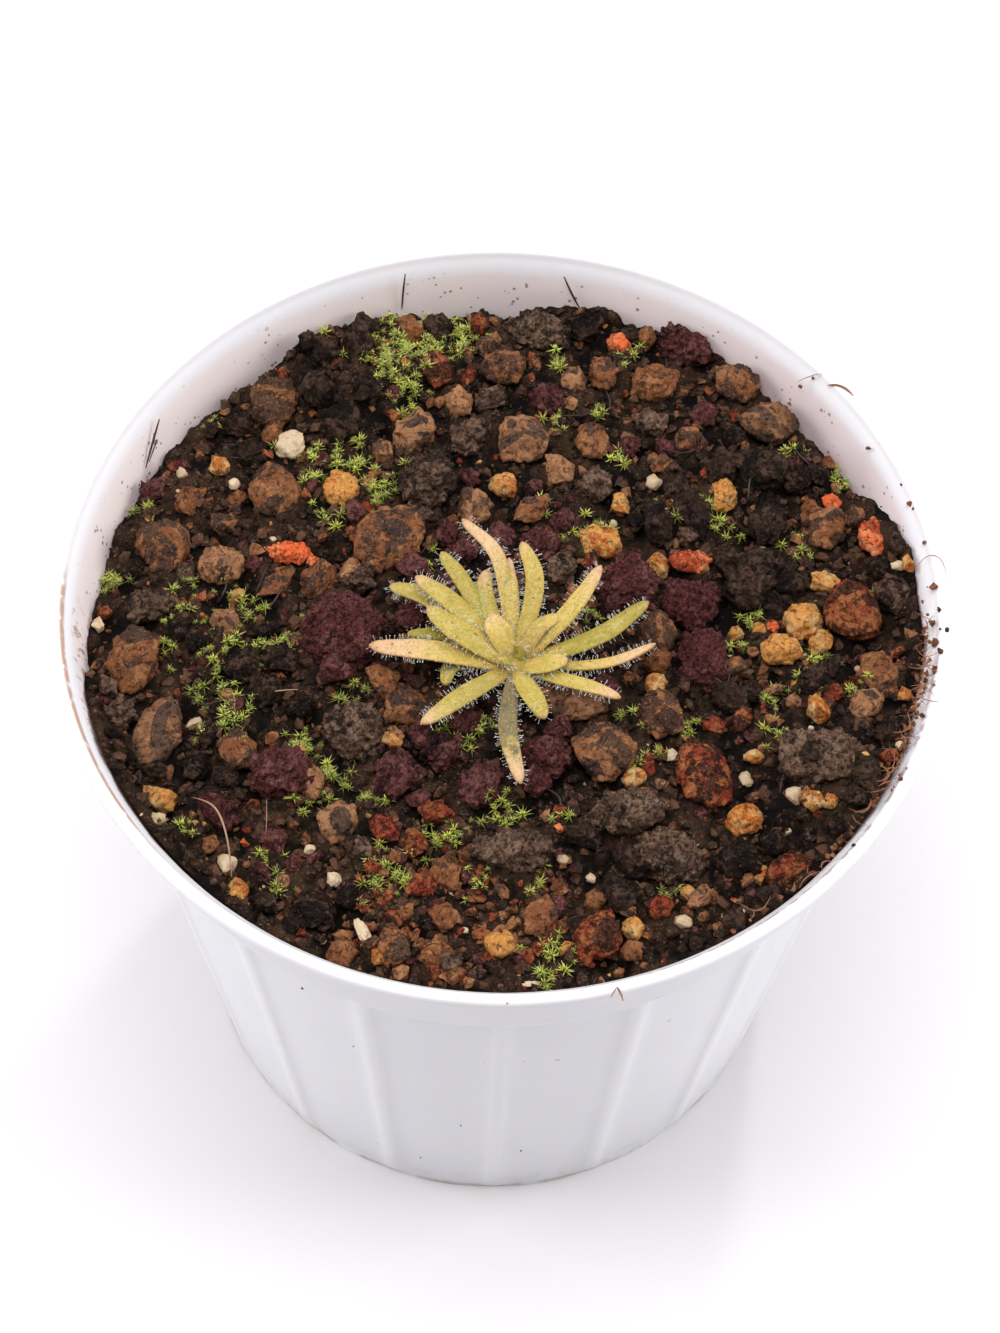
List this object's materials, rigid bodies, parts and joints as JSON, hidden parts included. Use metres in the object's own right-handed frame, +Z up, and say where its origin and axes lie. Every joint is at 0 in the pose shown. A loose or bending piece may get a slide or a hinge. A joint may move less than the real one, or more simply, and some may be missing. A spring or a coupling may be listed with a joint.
{
  "type": "potted pinguicula esseriana",
  "caption": "Small butterwort rosette with narrow sticky leaves in a round ribbed white plastic pot of gritty soil and gravel",
  "frame": {"origin": "on the ground under the middle of the pot's foot", "axes": "+Z up along the pot's axis, front towards -Y, the side that the picture looks from"},
  "size_m": [0.09, 0.09, 0.0782],
  "materials": {
    "white_plastic": "smooth moulded white plastic, faintly translucent, with fine dirt specks",
    "soil": "damp dark peat and grit",
    "leaf": "fleshy yellow-green leaves with tan tips and clear sticky hairs",
    "brown": "brown fired clay gravel with dark patches",
    "slate": "dark grey-brown gravel",
    "lava": "porous purple lava",
    "russet": "russet clay gravel",
    "tan": "tan clay gravel",
    "ochre": "ochre clay gravel with orange patches",
    "orange": "bright orange crushed brick clay"
  },
  "bodies": {
    "root": {"pot": "white_plastic", "soil_mix": "soil", "rosette": "leaf", "brown_stone_01": "brown", "brown_stone_02": "brown", "slate_stone_03": "slate", "lava_stone_04": "lava", "russet_stone_05": "russet", "brown_stone_06": "brown", "brown_stone_07": "brown", "brown_stone_08": "brown", "tan_stone_09": "tan", "tan_stone_10": "tan", "brown_stone_11": "brown", "slate_stone_12": "slate", "slate_stone_13": "slate", "ochre_stone_14": "ochre", "brown_stone_15": "brown", "brown_stone_16": "brown", "tan_stone_17": "tan", "lava_stone_18": "lava", "ochre_stone_19": "ochre", "lava_stone_20": "lava", "orange_stone_21": "orange", "lava_stone_22": "lava", "lava_stone_23": "lava", "lava_stone_24": "lava", "brown_stone_25": "brown", "orange_stone_26": "orange", "ochre_stone_27": "ochre", "russet_stone_28": "russet", "brown_stone_29": "brown", "brown_stone_30": "brown", "tan_stone_31": "tan", "orange_stone_32": "orange", "lava_stone_33": "lava", "slate_stone_34": "slate", "brown_stone_35": "brown", "slate_stone_36": "slate", "tan_stone_37": "tan", "brown_stone_38": "brown", "lava_stone_39": "lava", "slate_stone_40": "slate", "brown_stone_41": "brown", "lava_stone_42": "lava", "lava_stone_43": "lava", "lava_stone_44": "lava", "lava_stone_45": "lava", "tan_stone_46": "tan", "brown_stone_47": "brown", "brown_stone_48": "brown", "brown_stone_49": "brown", "russet_stone_50": "russet", "ochre_stone_51": "ochre", "slate_stone_52": "slate", "russet_stone_53": "russet", "slate_stone_54": "slate", "slate_stone_55": "slate", "slate_stone_56": "slate", "russet_stone_57": "russet"}
  },
  "joints": []
}
